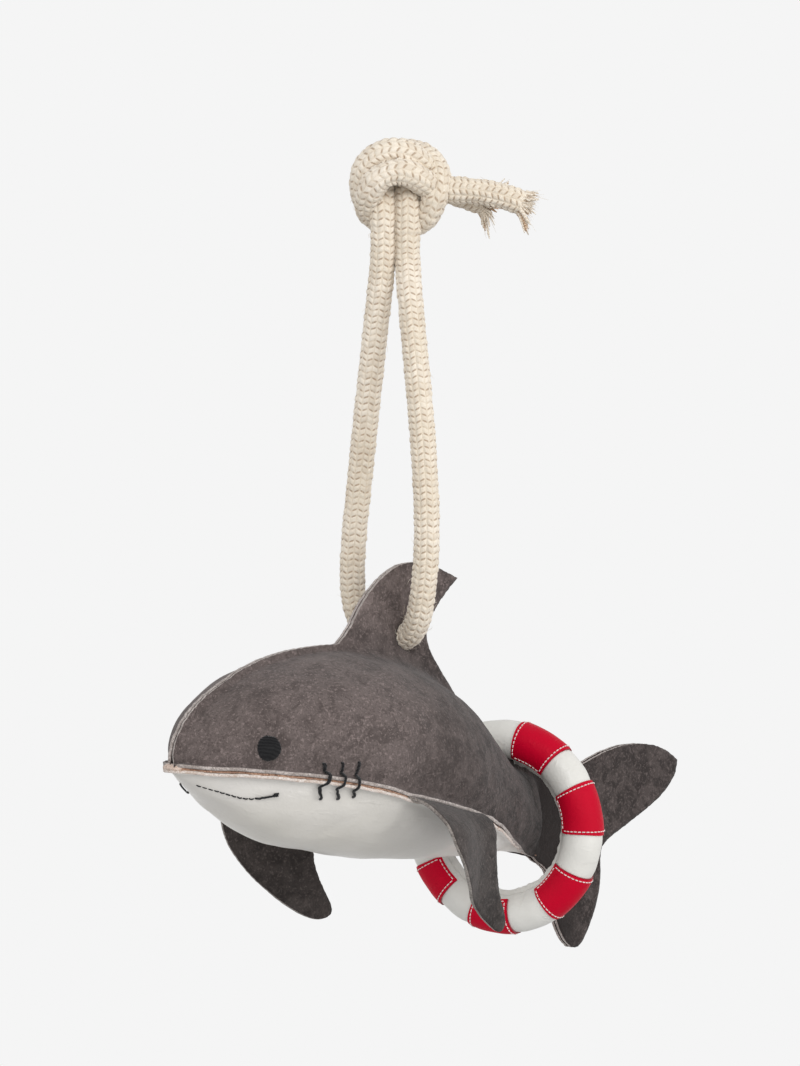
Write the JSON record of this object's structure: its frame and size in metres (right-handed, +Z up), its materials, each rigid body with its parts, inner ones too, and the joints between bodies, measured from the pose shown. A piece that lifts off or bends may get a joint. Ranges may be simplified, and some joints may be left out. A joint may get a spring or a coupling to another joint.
{
  "type": "hanging stuffed shark toy",
  "caption": "Stuffed suede shark on a knotted cotton rope, with a stuffed lifebuoy ring on its tail.",
  "frame": {"origin": "the crotch of the doubled rope just under its knot, where a hook bears", "axes": "+Z up; the nose points to -X and the tail to +X; the shark's left flank faces -Y; the body is symmetrical about Y = 0"},
  "size_m": [0.3284, 0.141, 0.3812],
  "materials": {
    "grey_suede": "matte",
    "white_leather": "satin",
    "ring_leather": "satin",
    "red_leather": "satin",
    "stuffing": "matte",
    "black_thread": "matte",
    "white_thread": "matte",
    "cotton_rope": "matte"
  },
  "bodies": {
    "rope": {"rope_knot": "cotton_rope", "rope_loop": "cotton_rope", "rope_front_tail": "cotton_rope", "rope_rear_tail": "cotton_rope"},
    "shark": {"left_side_panel": "grey_suede", "right_side_panel": "grey_suede", "belly_panel": "white_leather", "body_stuffing": "stuffing", "left_eye": "black_thread", "right_eye": "black_thread", "left_gill_stitches": "black_thread", "right_gill_stitches": "black_thread", "mouth_stitches": "black_thread"},
    "tail_fin": {"left_tail_layer": "grey_suede", "right_tail_layer": "grey_suede"},
    "left_fin": {"left_pectoral_fin": "grey_suede"},
    "right_fin": {"right_pectoral_fin": "grey_suede"},
    "ring": {"ring_cover": "ring_leather", "ring_stuffing": "stuffing", "patch_stitching": "white_thread", "ring_patch_1": "red_leather", "ring_patch_2": "red_leather", "ring_patch_3": "red_leather", "ring_patch_4": "red_leather", "ring_patch_5": "red_leather", "ring_patch_6": "red_leather", "ring_patch_7": "red_leather"}
  },
  "joints": [
    {"name": "shark_swing", "type": "hinge", "parent": "rope", "child": "shark", "pos_m": [0.006, 0, -0.1616], "axis": [0, 1, 0], "range_deg": [-30, 30], "stiffness_Nm_per_rad": 0.22, "springref_deg": 7.51},
    {"name": "tail_bend", "type": "hinge", "parent": "shark", "child": "tail_fin", "pos_m": [0.102, 0, -0.25], "axis": [0, 0, 1], "range_deg": [-20, 20], "stiffness_Nm_per_rad": 0.1},
    {"name": "left_fin_flap", "type": "hinge", "parent": "shark", "child": "left_fin", "pos_m": [-0.043, -0.0515, -0.229], "axis": [0.9686, 0.1076, -0.2242], "range_deg": [-40, 8], "stiffness_Nm_per_rad": 0.05},
    {"name": "right_fin_flap", "type": "hinge", "parent": "shark", "child": "right_fin", "pos_m": [-0.043, 0.0515, -0.229], "axis": [0.9686, -0.1076, -0.2242], "range_deg": [-8, 40], "stiffness_Nm_per_rad": 0.05},
    {"name": "ring_swing", "type": "hinge", "parent": "shark", "child": "ring", "pos_m": [0.078, 0, -0.2212], "axis": [0.2756, -0.9613, 0], "range_deg": [-20, 8]}
  ]
}
